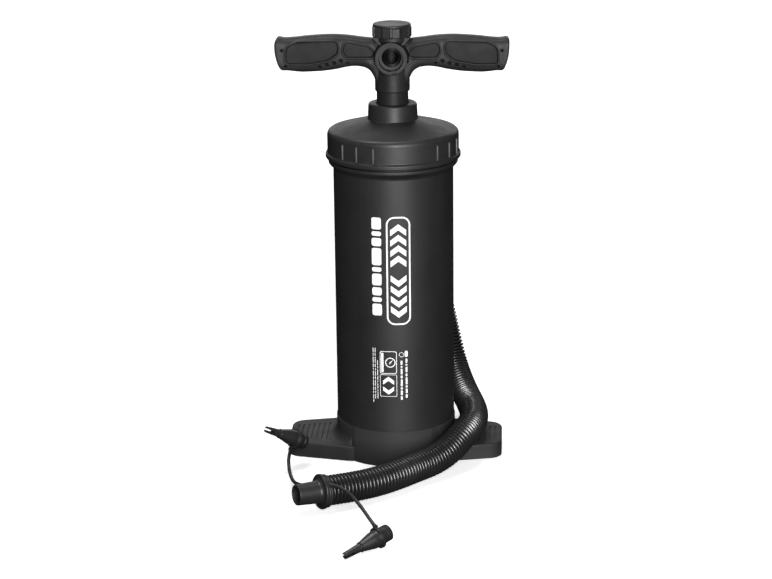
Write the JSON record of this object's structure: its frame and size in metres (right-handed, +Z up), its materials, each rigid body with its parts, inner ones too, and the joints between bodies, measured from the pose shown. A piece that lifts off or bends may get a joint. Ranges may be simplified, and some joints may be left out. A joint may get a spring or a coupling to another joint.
{
  "type": "double action hand pump",
  "caption": "Upright double action hand pump with a round barrel on a winged foot plate, T handle with selector knob, corrugated hose and tethered nozzles.",
  "frame": {"origin": "on the barrel's axis, at the floor under the foot plate", "axes": "+Z up along the rod, +X along the handle and the foot plate's wings, -Y towards the open port (front)"},
  "size_m": [0.2615, 0.4723, 0.4783],
  "materials": {
    "foot_plastic": "satin, fine moulded grain",
    "barrel_plastic": "satin",
    "lid_plastic": "satin, fine moulded grain",
    "hub_plastic": "satin",
    "grip_plastic": "satin, fine moulded grain",
    "knob_plastic": "satin",
    "rod_plastic": "smooth, with faint wipe marks",
    "hose_plastic": "glossy flexible corrugated hose",
    "fitting_plastic": "soft satin",
    "tether_rubber": "satin",
    "seal_rubber": "matte",
    "inner_plastic": "natural grey moulding",
    "bush_plastic": "low-friction bush",
    "screw_steel": "plated",
    "print_white": "pad-printed ink"
  },
  "bodies": {
    "root": {"base": "foot_plastic", "base_screws": "screw_steel", "barrel": "barrel_plastic", "lid": "lid_plastic", "lid_gasket": "seal_rubber", "guide_bush": "bush_plastic", "rod_seal": "seal_rubber", "seal_retainer": "bush_plastic", "upper_bumper": "seal_rubber", "lower_bumper": "seal_rubber", "hose": "hose_plastic", "hose_adapter": "fitting_plastic", "tether_ring_left": "tether_rubber", "tether_ring_right": "tether_rubber", "left_tether": "tether_rubber", "right_tether": "tether_rubber", "left_nozzle": "fitting_plastic", "right_nozzle": "fitting_plastic"},
    "handle": {"rod_outer_tube": "rod_plastic", "rod_inner_tube": "inner_plastic", "rod_ring_nut": "inner_plastic", "piston_lower_plate": "inner_plastic", "piston_upper_plate": "inner_plastic", "piston_manifold": "inner_plastic", "piston_seal": "seal_rubber", "piston_screws": "screw_steel", "handle_hub": "hub_plastic", "grip_left": "grip_plastic", "grip_right": "grip_plastic", "grip_screws": "screw_steel", "hose_connector": "fitting_plastic"},
    "selector": {"selector_knob": "knob_plastic", "selector_spool": "hub_plastic", "spool_seals": "seal_rubber"},
    "lower_intake_valve": {"lower_intake_valve": "seal_rubber"},
    "upper_intake_valve": {"upper_intake_valve": "seal_rubber"},
    "lower_outlet_valve": {"lower_outlet_valve": "seal_rubber"},
    "upper_outlet_valve": {"upper_outlet_valve": "seal_rubber"}
  },
  "joints": [
    {"name": "pump_stroke", "type": "slide", "parent": "root", "child": "handle", "axis": [0, 0, 1], "range_m": [0, 0.228], "deforming": ["hose"]},
    {"name": "selector_turn", "type": "hinge", "parent": "handle", "child": "selector", "pos_m": [0, 0, 0.4715], "axis": [0, 0, 1], "range_deg": [0, 90]},
    {"name": "lower_intake_lift", "type": "slide", "parent": "handle", "child": "lower_intake_valve", "axis": [0, 0, -1], "range_m": [0, 0.002], "stiffness_N_per_m": 60, "springref_m": -0.002},
    {"name": "upper_intake_lift", "type": "slide", "parent": "handle", "child": "upper_intake_valve", "axis": [0, 0, 1], "range_m": [0, 0.002], "stiffness_N_per_m": 60, "springref_m": -0.002},
    {"name": "lower_outlet_lift", "type": "slide", "parent": "handle", "child": "lower_outlet_valve", "axis": [0, 0, 1], "range_m": [0, 0.002], "stiffness_N_per_m": 60, "springref_m": -0.002},
    {"name": "upper_outlet_lift", "type": "slide", "parent": "handle", "child": "upper_outlet_valve", "axis": [0, 0, -1], "range_m": [0, 0.002], "stiffness_N_per_m": 60, "springref_m": -0.002}
  ]
}
